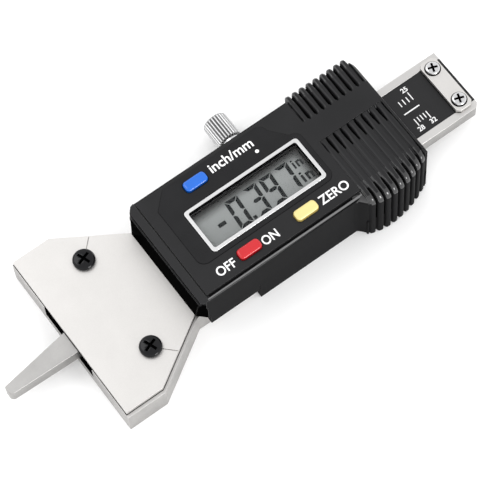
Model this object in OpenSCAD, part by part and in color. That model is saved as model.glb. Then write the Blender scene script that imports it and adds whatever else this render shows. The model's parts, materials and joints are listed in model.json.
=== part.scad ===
// Digital tyre tread depth gauge, millimetres.
// Origin: middle of the bottom edge of the base's front reference face.
// +X runs from the reference face towards the scale end, +Z is out of the display.

/* [Base] */
// Full width of the reference face
base_w = 42.4; // [40:0.2:46]
// Length of the base's straight sides
base_straight = 9.3; // [7:0.1:11]
// Distance from the reference face to the waist, where the housing starts
base_len = 24.2; // [23.8:0.1:24.4]
// Width of the waist and of the tongue behind it
waist_w = 23.4; // [23:0.1:23.6]
// Height of the base block
block_h = 6.5; // [6.5:0.1:6.8]
// Thickness of the cover plate over the guide
plate_t = 1.1; // [0.8:0.1:1.1]
// Ledge of the block left showing beside the plate, on the near side
plate_ledge = 0.85; // [0.4:0.05:1.2]

/* [Beam] */
// Width of the sliding beam
beam_w = 16; // [15.6:0.1:16]
// Thickness of the sliding beam
beam_t = 3.5; // [3:0.1:3.5]
// How far the probe stands out of the reference face at rest
probe_out = 16.4; // [10:0.1:20]
// Length of the narrow probe, from its shoulder to its tip
probe_len = 25.8; // [25.6:0.1:30]
// Width of the probe where its tip starts to round
tip_w = 2.4; // [2:0.1:3]
// Width of the printed scale set into the beam
scale_w = 12.4; // [11.4:0.1:13]
// Length of the beam that stays behind the reference face at rest
beam_back = 100.8; // [98:0.1:106]

/* [Housing] */
// Width of the housing
case_w = 27; // [27:0.1:27.6]
// Height of the housing's face above the surface the gauge lies on
case_h = 16.4; // [16.4:0.1:17]
// End of the housing, measured from the reference face
case_end = 82.2; // [82.2:0.1:83]
// Height of the seam between the front housing and the rear cover
seam_z = 6.3; // [6.25:0.05:6.4]
// Front end of the rear cover
rear_x = 38.8; // [38.8:0.1:40]

/* [Display] */
// Outer length of the display bezel
bezel_l = 29; // [27:0.1:29.5]
// Outer width of the display bezel
bezel_w = 11.1; // [10:0.1:11.4]
// Width of the bezel's frame
bezel_rim = 0.85; // [0.8:0.05:1.4]

/* [Buttons] */
// Length of a button cap
button_l = 5.5; // [4.6:0.1:5.8]
// Width of a button cap
button_w = 2.6; // [2.4:0.1:3.2]
// How far a button stands out of the face
button_proud = 0.9; // [0.7:0.1:1.2]

/* [Grip] */
// Number of ribs in each grip
rib_n = 9; // [7:1:9]
// Distance between ribs
rib_pitch = 1.8; // [1.6:0.05:1.8]
// Width of a rib
rib_w = 1.2; // [1:0.05:1.3]
// Furthest reach of the near grip from the centre line
grip_reach = 16.8; // [16.5:0.05:17]

/* [Lock screw] */
// Distance of the lock screw from the reference face
lock_x = 53.7; // [52:0.1:56]
// Diameter of the knurled head
knob_d = 5.8; // [5:0.1:6.4]
// Length of the knurled head
knob_l = 6.2; // [5:0.1:7]

/* [Hidden] */
$fn = 48;
eps = 0.01;

// Fits
slip = 0.05;
play = 0.1;

// Guide channel for the beam
beam_z = 2.7;
beam_top = beam_z + beam_t;
beam_mid = beam_z + beam_t / 2;
guide_z = beam_z - slip;
guide_near = beam_w / 2 + slip;
slot_far = beam_w / 2 + 1.3;
frame_far = beam_w / 2 + 0.9;
frame_w = 23.8;
frame_z = 1.55;
frame_x1 = 80.4;
tongue_x = 38.5;

// Base
plate_x0 = 0.25;
plate_x1 = 26;
plate_top = block_h + plate_t;
base_screw_x = 12.45;
base_screw_y = [12.6, -11.6];
screw25_r = 1.25;
slit_w = 0.16;
slit_depth = 0.25;

// Scale and stop plate
scale_x0 = 24;
scale_depth = 1;
board_t = 0.7;
label_t = 0.15;
stop_x0 = 95.7;
stop_x1 = 99.9;
stop_w = 14;
stop_t = 1;
stop_screw_y = 4.6;

// Housing
wall = 1.5;
case_in_w = case_w - 2 * wall;
front_x = 24.2;
skirt_x = 26.3;
skirt_z = 4;
rim_z = case_h - 0.7;
ceiling_z = case_h - 2;
lip_x = 24.8;
lip_z = [13.7, 14.8];
panel_x = 26.6;
panel_near = -12.4;
panel_far = 12.9;
lip_corner = [2, 0.8];

// Display
lcd_c = [47.7, -0.2];
bezel_r = 0.8;
bezel_z = case_h - 0.5;
bezel_top = case_h + 0.2;
window_z = case_h - 1.3;
glass_z = 13.1;
glass_t = 1.2;
glass_top = 14.85;
glass_size = [30, 11.6];
holder_wall = 0.9;

// Electronics
pcb_z = 6.7;
pcb_t = 1;
pcb_top = pcb_z + pcb_t;
dome_h = 0.4;

// Buttons: unit, power, zero
button_pos = [[39.4, 9.5], [39.4, -9.5], [53.8, -9.5]];
button_travel = 0.5;
button_flange = 0.6;
button_r = 0.9;

// Battery, a button cell
cell_r = 5.8;
cell_h = 5.4;
cell_c = [73.2, -4.8];
cell_z = pcb_top + 0.35;

// Grips and the battery cover
rib_x0 = 66.3;
rib_end = rib_x0 + (rib_n - 1) * rib_pitch;
rib_depth = 0.6;
cover_x0 = 65.6;
cover_x1 = 81.4;
rail = 0.3;
cover_y = 1.5;
far_rib_y = 7.3;
grip_c = 70.5;
grip_r_front = 12;
grip_r_back = 22.5;
shoulder_r = 3;

// Rear screws
rear_screw_pos = [[46.5, 10.4], [46.5, -10.4], [62, 10.4], [62, -10.4]];
rear_screw_r = 1;
rear_head_r = 1.8;

// Lock screw
thread_r = 1.5;
collar_y = 14.05;
knob_y = 17.8;
pad_y = 9.05;
pad_l = 0.95;

// Points on an arc about c, from angle a0 to a1
function arc(c, r, a0, a1, n = 6) =
    [for (i = [0 : n]) c + r * [cos(a0 + (a1 - a0) * i / n), sin(a0 + (a1 - a0) * i / n)]];

// Rounded rectangle centred on the origin
function round_rect(l, w, r) = concat(
    arc([l / 2 - r, w / 2 - r], r, 0, 90),
    arc([r - l / 2, w / 2 - r], r, 90, 180),
    arc([r - l / 2, r - w / 2], r, 180, 270),
    arc([l / 2 - r, r - w / 2], r, 270, 360)
);

// Outer line of the near grip, as seen from above: a tight curve in front and a long one behind
function grip_y(x) =
    let (r = x < grip_c ? grip_r_front : grip_r_back)
    r - grip_reach - sqrt(r * r - (x - grip_c) * (x - grip_c));

// A box between two opposite corners
module box(a, b) {
    translate(a) cube(b - a);
}

// A cylinder along +Y
module rod_y(x, y0, y1, z, r) {
    translate([x, y0, z]) rotate([-90, 0, 0]) cylinder(h = y1 - y0, r = r);
}

// A rounded rectangular slab centred on c
module slab(c, l, w, r, z0, z1) {
    translate([c[0], c[1], z0]) linear_extrude(z1 - z0) polygon(round_rect(l, w, r));
}

// A cross-head pan screw standing on z, with its shank below
module pan_screw(x, y, z, head_r, head_h, shank_r, shank_l) {
    translate([x, y, z]) difference() {
        union() {
            cylinder(h = head_h * 0.55, r = head_r);
            translate([0, 0, head_h * 0.55]) cylinder(h = head_h * 0.45, r1 = head_r, r2 = head_r * 0.68);
            translate([0, 0, -shank_l]) cylinder(h = shank_l + eps, r = shank_r);
        }
        for (a = [0, 90])
            rotate([0, 0, a + 20])
                translate([-head_r * 0.62, -head_r * 0.13, head_h * 0.45])
                    cube([head_r * 1.24, head_r * 0.26, head_h]);
    }
}

// One side of the base's outline, from x0 to x1
function base_side(half, waist, x0, x1) =
    [[x0, half], [base_straight, half], [base_len, waist], [x1, waist]];

module base_block() {
    side = base_side(base_w / 2, waist_w / 2, 0, tongue_x);
    mirrored = [for (i = [len(side) - 1 : -1 : 0]) [side[i][0], -side[i][1]]];
    color("#c9c7c4") difference() {
        union() {
            linear_extrude(block_h) polygon(concat(side, mirrored));
            box([tongue_x - 1, -frame_w / 2, frame_z], [frame_x1, frame_w / 2, block_h]);
        }
        box([-1, -guide_near, guide_z], [frame_x1 + 1, frame_far, block_h + 1]);
        box([-1, 0, guide_z], [tongue_x - 1, slot_far, block_h + 1]);
        for (y = base_screw_y)
            translate([base_screw_x, y, 1]) cylinder(h = block_h, r = screw25_r + 0.03);
        rod_y(lock_x, frame_far - 1, frame_w / 2 + 1, beam_mid, thread_r + slip);
        for (p = rear_screw_pos)
            translate([p[0], p[1], frame_z - 1]) cylinder(h = block_h + 1, r = rear_screw_r + play);
    }
}

module base_cover_plate() {
    far = base_side(base_w / 2, waist_w / 2, plate_x0, plate_x1);
    near = base_side(base_w / 2 - plate_ledge, waist_w / 2 - plate_ledge, plate_x0, plate_x1);
    mirrored = [for (i = [len(near) - 1 : -1 : 0]) [near[i][0], -near[i][1]]];
    color("#e6e3e0") difference() {
        translate([0, 0, block_h]) linear_extrude(plate_t) polygon(concat(far, mirrored));
        for (y = base_screw_y) {
            translate([base_screw_x, y, block_h - 1]) cylinder(h = plate_t + 2, r = screw25_r + play);
            translate([base_screw_x, y, plate_top - slit_depth])
                rotate([0, 0, sign(y) * 45])
                    translate([0, -slit_w / 2, 0])
                        cube([12, slit_w, 1]);
        }
    }
}

module base_screws() {
    color("#1d1d1f")
        for (y = base_screw_y)
            pan_screw(base_screw_x, y, plate_top, 2.45, 1.4, screw25_r, plate_top - 1.5);
}

module gib_strip() {
    color("#c8a24a") box([27, guide_near - 0.02, beam_z + slip], [80, frame_far - 0.07, beam_top - 0.15]);
}

module lock_pad() {
    color("#c8a24a") rod_y(lock_x, pad_y, pad_y + pad_l, beam_mid, thread_r - play);
}

// Outline of a straight knurl with n teeth
function knurl(n, r_out, r_in) =
    [for (i = [0 : 2 * n - 1]) (i % 2 == 0 ? r_out : r_in) * [cos(180 * i / n), sin(180 * i / n)]];

module lock_screw() {
    tip = pad_y + pad_l;
    color("#d8d8da") {
        rod_y(lock_x, tip, collar_y + eps, beam_mid, thread_r);
        rod_y(lock_x, collar_y, knob_y + eps, beam_mid, knob_d / 2 - 0.45);
        translate([lock_x, knob_y, beam_mid]) rotate([-90, 0, 0]) {
            linear_extrude(knob_l) polygon(knurl(24, knob_d / 2, knob_d / 2 - 0.3));
            translate([0, 0, knob_l - eps]) cylinder(h = 0.4, r1 = knob_d / 2 - 0.3, r2 = knob_d / 2 - 1);
        }
    }
}

// Profile of the front end, in X and Z: a slanted wall under an overhanging lip
function front_profile() = [
    [skirt_x, plate_top], [front_x - 0.4, plate_top], [front_x + 0.3, lip_z[0]],
    [lip_x, lip_z[0]], [lip_x, lip_z[1]], [panel_x - 0.25, case_h - 0.25], [skirt_x, case_h - 0.25]
];

module front_end() {
    translate([0, case_w / 2, 0]) rotate([90, 0, 0]) linear_extrude(case_w) polygon(front_profile());
}

// Wedges that take the front corners off at 45 degrees, by a larger cut under the lip than through it
module front_corners() {
    for (s = [-1, 1])
        for (cut = [[front_x - 0.4, lip_corner[0], lip_z[0] - 1], [lip_x, lip_corner[1], case_h]])
            translate([cut[0], s * case_w / 2, plate_top - 1])
                linear_extrude(cut[2] - plate_top + 1)
                    polygon([[-1, -s * (cut[1] + 1)], [cut[1] + 1, s], [-1, s]]);
}

// Rounded bars that stand out of the far side, one for each rib of the far grip
module far_ribs(z0, z1) {
    for (i = [0 : rib_n - 1])
        translate([rib_x0 + i * rib_pitch, case_w / 2 + 0.1, z0])
            cylinder(h = z1 - z0, r = rib_w / 2 + 0.25);
}

// Openings for the buttons, each with a wider pocket under it for the flange
module button_openings() {
    for (p = button_pos) {
        slab(p, button_l + 2 * play, button_w + 2 * play, button_r + play, ceiling_z - 1, case_h + 1);
        slab(p, button_l + 1.4, button_w + 1.4, button_r + 0.5, ceiling_z - 1, ceiling_z + button_flange + 0.3);
    }
}

// Stepped opening for the bezel, the window and the view of the display
module display_openings() {
    slab(lcd_c, bezel_l + 0.1, bezel_w + 0.1, bezel_r + 0.05, bezel_z, case_h + 1);
    slab(lcd_c, bezel_l - 0.6, bezel_w - 0.6, 1.2, window_z, case_h + 1);
    slab(lcd_c, bezel_l - 1.8, bezel_w - 1.8, 0.6, ceiling_z - 1, case_h + 1);
}

module front_housing() {
    color("#2c2c2e") difference() {
        union() {
            front_end();
            box([skirt_x - eps, -case_w / 2, skirt_z], [rear_x - 0.1, case_w / 2, rim_z]);
            box([rear_x - 0.1 - eps, -case_w / 2, seam_z], [case_end, case_w / 2, rim_z]);
            box([panel_x, panel_near, rim_z - eps], [case_end, panel_far, case_h]);
            box([rib_x0 - rib_w, cover_y, rim_z - eps], [case_end, case_w / 2 - 0.4, case_h]);
            far_ribs(seam_z, case_h - 0.5);
        }
        // The space for the mechanism and the electronics
        box([front_x + wall, -case_in_w / 2, plate_top - eps], [80.7, case_in_w / 2, ceiling_z]);
        box([skirt_x - 1, -case_in_w / 2, skirt_z - 1], [80.7, case_in_w / 2, plate_top]);
        box([80, -guide_near - 0.15, seam_z - 1], [case_end + 1, guide_near + 0.15, seam_z + 0.15]);
        front_corners();
        // Groove between the raised face and the near rim
        box([panel_x + 0.4, panel_near - 0.5, rim_z - 0.8], [cover_x0 - 0.8, panel_near, case_h + 1]);
        // Grooves between the far ribs
        for (i = [0 : rib_n - 2])
            box(
                [rib_x0 + (i + 0.5) * rib_pitch - (rib_pitch - rib_w) / 2, far_rib_y, case_h - rib_depth],
                [rib_x0 + (i + 0.5) * rib_pitch + (rib_pitch - rib_w) / 2, case_w, case_h + 1]
            );
        button_openings();
        display_openings();
        // Battery opening, with the slideways of its cover
        box([cover_x0 - play, -20, seam_z - 1], [cover_x1 + play, cover_y + play, case_h + 1]);
        box(
            [cover_x0 - rail - play, -20, ceiling_z + 0.4],
            [cover_x1 + rail + play, cover_y + play, ceiling_z + 1.1]
        );
    }
    color("#2c2c2e")
        for (p = rear_screw_pos)
            translate([p[0], p[1], pcb_top + slip]) difference() {
                cylinder(h = ceiling_z - pcb_top, r = 1.75);
                translate([0, 0, -1]) cylinder(h = 5.5, r = rear_screw_r + 0.03);
            }
}

module display_overlay() {
    color("#1f1f21") difference() {
        translate([0, 0, case_h]) linear_extrude(0.12) polygon(concat(
            arc([31.3, -4.9], 2, 180, 270), arc([61.4, -4.9], 2, 270, 360),
            arc([61.4, 4.6], 2, 0, 90), arc([56.3, 10.3], 2, 0, 90), [[32.9, 12.3], [29.3, 8.7]]
        ));
        slab(lcd_c, bezel_l + 0.1, bezel_w + 0.1, bezel_r + 0.05, case_h - 1, case_h + 1);
        slab(button_pos[0], button_l + 2 * play, button_w + 2 * play, button_r + play, case_h - 1, case_h + 1);
    }
}

module lcd_bezel() {
    color("#e4e4e4") difference() {
        slab(lcd_c, bezel_l, bezel_w, bezel_r, bezel_z, bezel_top);
        slab(lcd_c, bezel_l - 2 * bezel_rim, bezel_w - 2 * bezel_rim, 0.4, bezel_z - 1, bezel_top + 1);
    }
}

module lcd_window() {
    color("#dfe6e8", 0.3) slab(lcd_c, bezel_l - 0.7, bezel_w - 0.7, 1.15, window_z, bezel_z);
}

module lcd_panel() {
    color("#9a9d9c") {
        slab(lcd_c, glass_size[0], glass_size[1], 0.1, glass_z, glass_z + glass_t);
        slab(lcd_c, bezel_l - 2.2, bezel_w - 2.2, 0.4, glass_z + glass_t - eps, glass_top);
    }
}

module lcd_holder() {
    in_l = glass_size[0] + play;
    in_w = glass_size[1] + play;
    color("#e9e9e6") difference() {
        slab(lcd_c, in_l + 2 * holder_wall, in_w + 2 * holder_wall, 0.6, pcb_top, ceiling_z);
        slab(lcd_c, in_l, in_w, 0.15, pcb_top - 1, ceiling_z + 1);
    }
}

module zebra_strips() {
    color("#d77a8c")
        for (s = [-1, 1])
            slab([lcd_c[0], lcd_c[1] + s * 4.4], 26, 1.8, 0.1, pcb_top, glass_z);
}

module circuit_board() {
    color("#1f6b3a") difference() {
        box([27, -11.6, pcb_z], [80.2, 11.6, pcb_top]);
        for (p = rear_screw_pos)
            translate([p[0], p[1], pcb_z - 1]) cylinder(h = pcb_t + 2, r = rear_screw_r + play);
    }
}

module controller_chip() {
    color("#141414") translate([lcd_c[0], lcd_c[1], pcb_top]) {
        cylinder(h = 0.5, r = 3);
        translate([0, 0, 0.5 - eps]) cylinder(h = 0.6, r1 = 2.9, r2 = 1.6);
    }
}

module button_domes() {
    color("#c9c9cc")
        for (p = button_pos)
            translate([p[0], p[1], pcb_top]) cylinder(h = dome_h, r1 = 1.9, r2 = 1.2);
}

// A button cap with a retaining flange and a stem that reaches its switch
module button(p) {
    flange_z = ceiling_z + 0.25;
    slab(p, button_l, button_w, button_r, flange_z, case_h + button_proud);
    slab(p, button_l + 1.1, button_w + 1.1, button_r + 0.4, flange_z, flange_z + button_flange);
    translate([p[0], p[1], pcb_top + dome_h + button_travel + slip])
        cylinder(h = flange_z - pcb_top - dome_h - button_travel, r = 1.1);
}

module unit_button() {
    color("#2f7fe8") button(button_pos[0]);
}

module power_button() {
    color("#f0303a") button(button_pos[1]);
}

module zero_button() {
    color("#f5e58a") button(button_pos[2]);
}

module battery() {
    color("#cfcfd2") translate([cell_c[0], cell_c[1], cell_z]) {
        cylinder(h = 0.6, r = cell_r - 0.9);
        translate([0, 0, 0.6 - eps]) cylinder(h = cell_h - 0.6, r = cell_r);
    }
}

module battery_holder() {
    color("#242426") difference() {
        translate([cell_c[0], cell_c[1], pcb_top]) cylinder(h = cell_h, r = cell_r + 1.1);
        translate([cell_c[0], cell_c[1], pcb_top - 1]) cylinder(h = cell_h + 2, r = cell_r + play);
        box([cell_c[0] - 1.6, cell_c[1] + 4, pcb_top - 1], [cell_c[0] + 1.6, cell_c[1] + 8, pcb_top + 8]);
    }
}

module battery_contact_positive() {
    y0 = cell_c[1] + cell_r + 0.03;
    color("#d9c58a") {
        box([cell_c[0] - 1.4, y0, pcb_top], [cell_c[0] + 1.4, y0 + 0.3, cell_z + 4]);
        box([cell_c[0] - 1.4, y0, pcb_top], [cell_c[0] + 1.4, y0 + 3, pcb_top + 0.3]);
    }
}

module battery_contact_negative() {
    color("#d9c58a") box([cell_c[0] - 4, cell_c[1] - 1.2, pcb_top], [cell_c[0] + 4, cell_c[1] + 1.2, cell_z]);
}

// Side profile of one rib of the battery cover, in Y and Z, sunk by a given depth
function rib_profile(reach, sink, z_low) = concat(
    [[cover_y, case_h - sink]],
    [[cover_y, ceiling_z + 0.1], [-case_in_w / 2 - 0.1, ceiling_z + 0.1], [-case_in_w / 2 - 0.1, z_low]],
    [[-(reach - sink), z_low]],
    arc([shoulder_r - reach, case_h - shoulder_r], shoulder_r - sink, 180, 90, 8)
);

module rib_bar(x, w, sink, z_low) {
    reach = -grip_y(x);
    translate([x - w / 2, 0, 0])
        rotate([90, 0, 90])
            linear_extrude(w) polygon(rib_profile(reach, sink, z_low));
}

module battery_cover() {
    z_low = seam_z + slip;
    color("#2c2c2e") {
        for (i = [0 : rib_n - 1])
            rib_bar(rib_x0 + i * rib_pitch, rib_w, 0, z_low);
        for (i = [0 : rib_n - 2])
            rib_bar(rib_x0 + (i + 0.5) * rib_pitch, rib_pitch - rib_w + 2 * eps, rib_depth, z_low);
        for (edge = [[cover_x0, rib_x0 - rib_w / 2 + eps], [rib_end + rib_w / 2 - eps, cover_x1]])
            rib_bar((edge[0] + edge[1]) / 2, edge[1] - edge[0], rib_depth, z_low);
        box([cover_x0 - rail, -case_in_w / 2, ceiling_z + 0.5], [cover_x1 + rail, cover_y, ceiling_z + 1]);
    }
}

// Outline of the rear cover, with the bulge of the near grip
function rear_outline() = concat(
    [[rear_x, case_w / 2], [rear_x, -case_w / 2], [cover_x0 - 2, -case_w / 2]],
    [for (i = [0 : 8]) let (x = cover_x0 + (cover_x1 - cover_x0) * i / 8) [x, grip_y(x) + 0.2]],
    [[case_end, -case_w / 2], [case_end, case_w / 2]]
);

module rear_cover() {
    color("#2a2a2c") difference() {
        union() {
            linear_extrude(seam_z - slip) polygon(rear_outline());
            far_ribs(0, seam_z - slip);
            for (i = [0 : rib_n - 1])
                let (x = rib_x0 + i * rib_pitch)
                    translate([x, grip_y(x) + rib_w / 2 + 0.1, 0])
                        cylinder(h = seam_z - slip, r = rib_w / 2 + 0.1);
        }
        box([rear_x - 1, -case_in_w / 2, frame_z - slip], [80.7, case_in_w / 2, seam_z + 1]);
        box([80, -guide_near - 0.15, beam_z - 0.2], [case_end + 1, guide_near + 0.15, seam_z + 1]);
        rod_y(lock_x, case_in_w / 2 - 1, case_w / 2 + 1, beam_mid, thread_r + play);
        for (p = rear_screw_pos) {
            translate([p[0], p[1], -1]) cylinder(h = 4, r = rear_screw_r + play);
            translate([p[0], p[1], -1]) cylinder(h = 1.9, r = rear_head_r + play);
        }
    }
}

module rear_screws() {
    color("#1d1d1f")
        for (p = rear_screw_pos)
            translate([p[0], p[1], 0.1]) difference() {
                union() {
                    cylinder(h = 0.8, r = rear_head_r);
                    translate([0, 0, 0.8 - eps]) cylinder(h = 11, r = rear_screw_r);
                }
                for (a = [0, 90])
                    rotate([0, 0, a + 30]) translate([-1, -0.18, -1]) cube([2, 0.36, 1.5]);
            }
}

// Outline of the beam: a wide back part and a narrow probe that tapers on its far side
module slide_beam() {
    tip_x = -probe_out;
    shoulder = tip_x + probe_len;
    near_r = 1;
    far_r = 0.4;
    tip_near = -2.55;
    tip_far = tip_near + tip_w;
    outline = concat(
        arc([tip_x + near_r, tip_near + near_r], near_r, 180, 265),
        [[shoulder, -3.15], [shoulder, -beam_w / 2], [beam_back - 1, -beam_w / 2]],
        [[beam_back, 1 - beam_w / 2], [beam_back, beam_w / 2], [shoulder, beam_w / 2], [shoulder, 3.9]],
        arc([tip_x + far_r, tip_far - far_r], far_r, 95, 180)
    );
    color("#d5d3d0") difference() {
        translate([0, 0, beam_z]) linear_extrude(beam_t) polygon(outline);
        box([scale_x0, -scale_w / 2, beam_top - scale_depth], [beam_back + 1, scale_w / 2, beam_top + 1]);
        for (s = [-1, 1])
            translate([(stop_x0 + stop_x1) / 2, s * stop_screw_y, beam_z + 0.6])
                cylinder(h = beam_t, r = 0.85);
    }
}

// A strip that fills the recess in the beam between two heights
module scale_strip(z0, z1) {
    difference() {
        box([scale_x0 + slip, slip - scale_w / 2, z0], [beam_back, scale_w / 2 - slip, z1]);
        for (s = [-1, 1])
            translate([(stop_x0 + stop_x1) / 2, s * stop_screw_y, z0 - 1]) cylinder(h = 4, r = 0.9);
    }
}

module scale_board() {
    z0 = beam_top - scale_depth;
    color("#2f7d46") scale_strip(z0, z0 + board_t);
}

module scale_label() {
    z0 = beam_top - scale_depth + board_t;
    color("#202022") scale_strip(z0, z0 + label_t);
}

module end_stop_plate() {
    c = [(stop_x0 + stop_x1) / 2, 0];
    color("#dedcd9") difference() {
        slab(c, stop_x1 - stop_x0, stop_w, 1, beam_top, beam_top + stop_t);
        for (s = [-1, 1])
            translate([c[0], s * stop_screw_y, beam_top - 1]) cylinder(h = stop_t + 2, r = 0.9);
    }
}

module end_stop_screws() {
    color("#cfcfd2")
        for (s = [-1, 1])
            pan_screw((stop_x0 + stop_x1) / 2, s * stop_screw_y, beam_top + stop_t, 1.55, 0.8, 0.8, 3.6);
}

base_block();
base_cover_plate();
base_screws();
gib_strip();
lock_pad();
lock_screw();
front_housing();
display_overlay();
lcd_bezel();
lcd_window();
lcd_panel();
lcd_holder();
zebra_strips();
circuit_board();
controller_chip();
button_domes();
unit_button();
power_button();
zero_button();
battery();
battery_holder();
battery_contact_positive();
battery_contact_negative();
battery_cover();
rear_cover();
rear_screws();
slide_beam();
scale_board();
scale_label();
end_stop_plate();
end_stop_screws();
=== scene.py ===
"""Looks of the digital tyre tread depth gauge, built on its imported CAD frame.

Lengths in this file are millimetres until they reach Blender, where MM turns them into metres.
"""

import json
import math

import bmesh
import bpy
from mathutils import Matrix, Vector

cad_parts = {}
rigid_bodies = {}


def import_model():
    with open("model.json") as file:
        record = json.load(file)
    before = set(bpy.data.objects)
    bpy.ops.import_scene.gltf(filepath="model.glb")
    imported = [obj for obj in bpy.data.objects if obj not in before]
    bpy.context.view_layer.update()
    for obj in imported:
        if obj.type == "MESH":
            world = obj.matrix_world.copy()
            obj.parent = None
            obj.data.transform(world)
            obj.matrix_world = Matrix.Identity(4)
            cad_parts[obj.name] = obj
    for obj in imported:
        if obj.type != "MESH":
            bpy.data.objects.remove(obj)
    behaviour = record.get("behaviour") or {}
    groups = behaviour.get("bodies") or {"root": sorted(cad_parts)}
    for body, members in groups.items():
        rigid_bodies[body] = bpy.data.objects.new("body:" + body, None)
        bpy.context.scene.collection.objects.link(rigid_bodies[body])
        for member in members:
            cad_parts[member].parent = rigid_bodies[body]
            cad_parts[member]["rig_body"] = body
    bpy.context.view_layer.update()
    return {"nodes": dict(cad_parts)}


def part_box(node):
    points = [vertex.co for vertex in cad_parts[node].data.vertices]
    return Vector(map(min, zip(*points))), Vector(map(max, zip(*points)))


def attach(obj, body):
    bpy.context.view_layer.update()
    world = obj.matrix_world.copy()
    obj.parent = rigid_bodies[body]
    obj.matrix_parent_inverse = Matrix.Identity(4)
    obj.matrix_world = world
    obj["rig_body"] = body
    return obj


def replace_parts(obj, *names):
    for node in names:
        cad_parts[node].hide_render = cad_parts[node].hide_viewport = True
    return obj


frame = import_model()

MM = 0.001
SCENE = bpy.context.scene

# A piece without rounded edges is shaded smooth across edges that turn less than SMOOTH_BELOW.
# Edges that turn more than SHARP_ABOVE are the ones that can be rounded.
SMOOTH_BELOW = math.radians(40)
SHARP_ABOVE = math.radians(30)

# The thickness of printed marks, the lift that keeps two flat faces apart, half the thickness of
# lettering, and the height of a capital as a share of the font's size
PRINT_THICK = 0.01
PRINT_LIFT = 0.012
LETTER_HALF = 0.006
CAPITAL_SHARE = 0.73

# Where the bezel's shade starts and ends on the display, in metres
SHADE_FAR = (0.0012, 0.0041)
SHADE_RIGHT = (0.0587, 0.0613)


# ---------------------------------------------------------------- materials


def node_tree(name):
    """An empty material and its Principled shader, with the object's own coordinates."""
    material = bpy.data.materials.new(name)
    material.use_nodes = True
    tree = material.node_tree
    shader = tree.nodes["Principled BSDF"]
    coords = tree.nodes.new("ShaderNodeTexCoord")
    return material, tree, shader, coords.outputs["Object"]


def noise(tree, vector, scale, detail=3.0, stretch=(1, 1, 1)):
    """Noise with its features scale per metre, stretched along an axis by a small factor."""
    mapping = tree.nodes.new("ShaderNodeMapping")
    mapping.inputs["Scale"].default_value = stretch
    texture = tree.nodes.new("ShaderNodeTexNoise")
    texture.inputs["Scale"].default_value = scale
    texture.inputs["Detail"].default_value = detail
    tree.links.new(vector, mapping.inputs["Vector"])
    tree.links.new(mapping.outputs["Vector"], texture.inputs["Vector"])
    return texture.outputs["Fac"]


def spread(tree, value, low, high):
    """Maps a 0.3 to 0.7 noise value on to low to high."""
    ramp = tree.nodes.new("ShaderNodeMapRange")
    ramp.inputs["From Min"].default_value = 0.3
    ramp.inputs["From Max"].default_value = 0.7
    ramp.inputs["To Min"].default_value = low
    ramp.inputs["To Max"].default_value = high
    tree.links.new(value, ramp.inputs["Value"])
    return ramp.outputs["Result"]


def tint(tree, value, color, dark):
    """A colour that wanders between color and a darker shade of it."""
    mix = tree.nodes.new("ShaderNodeMix")
    mix.data_type = "RGBA"
    mix.inputs["A"].default_value = (*[c * dark for c in color], 1)
    mix.inputs["B"].default_value = (*color, 1)
    tree.links.new(value, mix.inputs["Factor"])
    return mix.outputs["Result"]


def bump(tree, shader, value, strength, depth):
    """Surface relief of the given depth in millimetres."""
    node = tree.nodes.new("ShaderNodeBump")
    node.inputs["Strength"].default_value = strength
    node.inputs["Distance"].default_value = depth * MM
    tree.links.new(value, node.inputs["Height"])
    tree.links.new(node.outputs["Normal"], shader.inputs["Normal"])


def metal(name, color, rough, grain=3500, stretch=(1, 1, 1), relief=0.01, strength=0.25, dark=0.9):
    """Blasted or brushed metal: grain in colour, gloss and relief."""
    material, tree, shader, vector = node_tree(name)
    fine = noise(tree, vector, grain, 4, stretch)
    broad = noise(tree, vector, grain / 25, 3, stretch)
    shader.inputs["Metallic"].default_value = 1.0
    tree.links.new(tint(tree, spread(tree, broad, 0, 1), color, dark), shader.inputs["Base Color"])
    tree.links.new(spread(tree, fine, rough - 0.06, rough + 0.06), shader.inputs["Roughness"])
    bump(tree, shader, fine, strength, relief)
    return material


def plastic(name, color, rough, grain=2600, relief=0.012, strength=0.2, dark=0.8, specular=0.5, ior=1.5):
    """Moulded plastic with a fine spark-eroded texture."""
    material, tree, shader, vector = node_tree(name)
    fine = noise(tree, vector, grain, 4)
    broad = noise(tree, vector, grain / 20, 3)
    shader.inputs["Specular IOR Level"].default_value = specular
    shader.inputs["IOR"].default_value = ior
    tree.links.new(tint(tree, spread(tree, broad, 0, 1), color, dark), shader.inputs["Base Color"])
    tree.links.new(spread(tree, broad, rough - 0.05, rough + 0.05), shader.inputs["Roughness"])
    bump(tree, shader, fine, strength, relief)
    return material


def edge_shade(tree, axis, start, end):
    """1 before start and dark at end, in metres along one of the object's axes."""
    ramp = tree.nodes.new("ShaderNodeMapRange")
    ramp.interpolation_type = "SMOOTHSTEP"
    ramp.inputs["From Min"].default_value = start
    ramp.inputs["From Max"].default_value = end
    ramp.inputs["To Min"].default_value = 1.0
    ramp.inputs["To Max"].default_value = 0.0
    tree.links.new(axis, ramp.inputs["Value"])
    return ramp.outputs["Result"]


def display_grey(name, color):
    """The display's glass, which lies in the shade of the bezel at its far and right edges."""
    material, tree, shader, vector = node_tree(name)
    axes = tree.nodes.new("ShaderNodeSeparateXYZ")
    tree.links.new(vector, axes.inputs["Vector"])
    far = edge_shade(tree, axes.outputs["Y"], *SHADE_FAR)
    right = edge_shade(tree, axes.outputs["X"], *SHADE_RIGHT)
    shade = tree.nodes.new("ShaderNodeMath")
    shade.operation = "MULTIPLY"
    tree.links.new(far, shade.inputs[0])
    tree.links.new(right, shade.inputs[1])
    tree.links.new(tint(tree, shade.outputs["Value"], color, 0.04), shader.inputs["Base Color"])
    fine = noise(tree, vector, 6000)
    tree.links.new(spread(tree, fine, 0.2, 0.3), shader.inputs["Roughness"])
    shader.inputs["Specular IOR Level"].default_value = 0.2
    return material


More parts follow.
